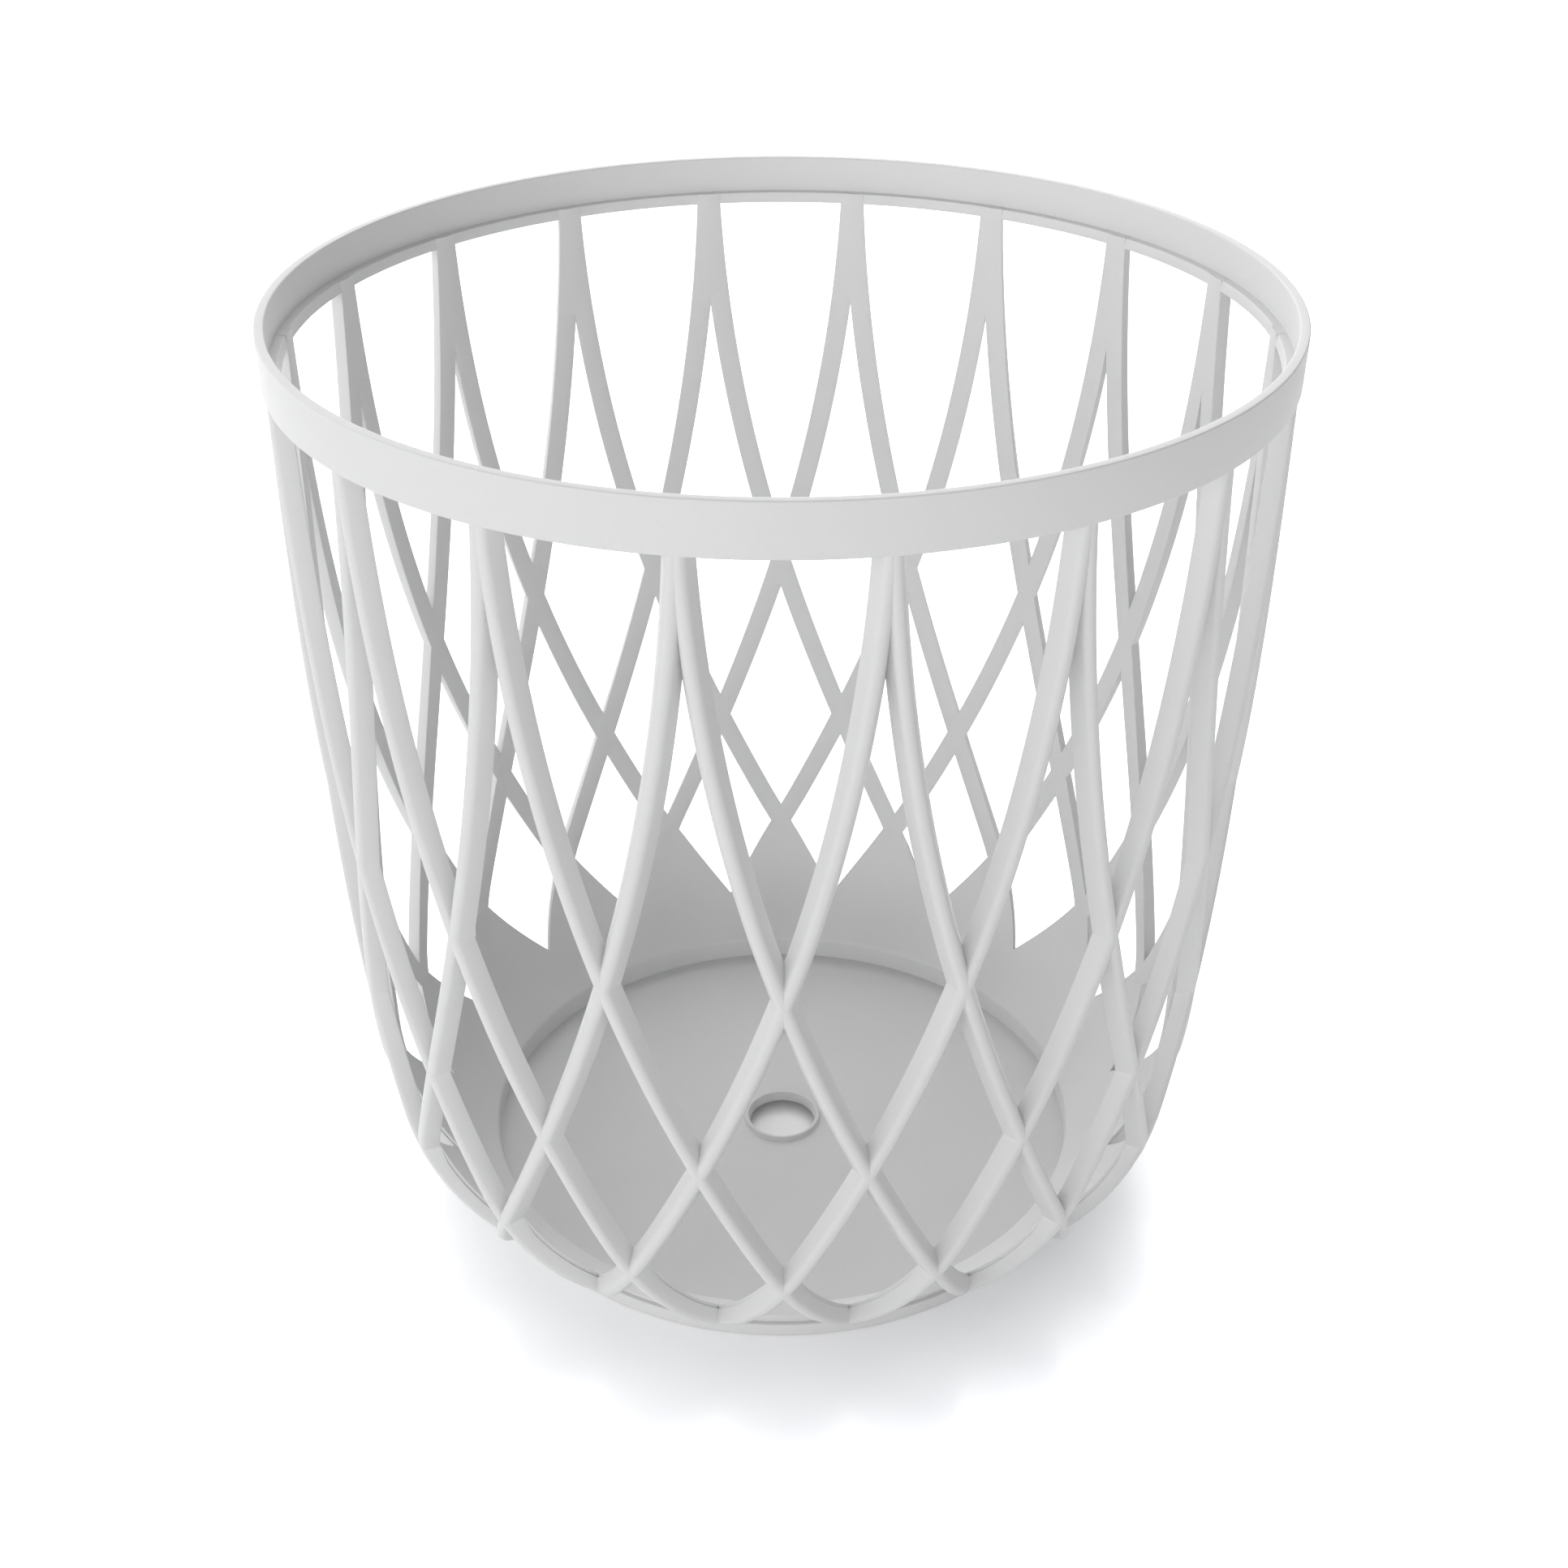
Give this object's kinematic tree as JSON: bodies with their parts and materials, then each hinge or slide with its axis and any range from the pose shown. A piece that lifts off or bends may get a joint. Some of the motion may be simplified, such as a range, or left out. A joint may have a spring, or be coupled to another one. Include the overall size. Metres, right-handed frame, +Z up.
{
  "type": "umbrella stand",
  "caption": "Round open umbrella stand: slanting ribs cross to form a lattice basket between a plain rim band and a recessed floor with a drain hole.",
  "frame": {"origin": "centre of the foot ring's underside, on the surface that the stand rests on", "axes": "+Z up along the stand's axis; -Y is the front, midway between two pairs of ribs"},
  "size_m": [0.3869, 0.387, 0.4],
  "materials": {
    "rim": "fine matte moulded surface",
    "ribs": "fine matte moulded surface",
    "base": "fine matte moulded surface"
  },
  "bodies": {
    "root": {"rim_band": "rim", "top_ring": "rim", "rib_left_01": "ribs", "rib_left_02": "ribs", "rib_left_03": "ribs", "rib_left_04": "ribs", "rib_left_05": "ribs", "rib_left_06": "ribs", "rib_left_07": "ribs", "rib_left_08": "ribs", "rib_left_09": "ribs", "rib_left_10": "ribs", "rib_left_11": "ribs", "rib_left_12": "ribs", "rib_left_13": "ribs", "rib_left_14": "ribs", "rib_left_15": "ribs", "rib_left_16": "ribs", "rib_left_17": "ribs", "rib_left_18": "ribs", "rib_right_01": "ribs", "rib_right_02": "ribs", "rib_right_03": "ribs", "rib_right_04": "ribs", "rib_right_05": "ribs", "rib_right_06": "ribs", "rib_right_07": "ribs", "rib_right_08": "ribs", "rib_right_09": "ribs", "rib_right_10": "ribs", "rib_right_11": "ribs", "rib_right_12": "ribs", "rib_right_13": "ribs", "rib_right_14": "ribs", "rib_right_15": "ribs", "rib_right_16": "ribs", "rib_right_17": "ribs", "rib_right_18": "ribs", "bowl": "base", "floor_pan": "base", "floor_rim": "base", "foot_ring": "base"}
  },
  "joints": []
}
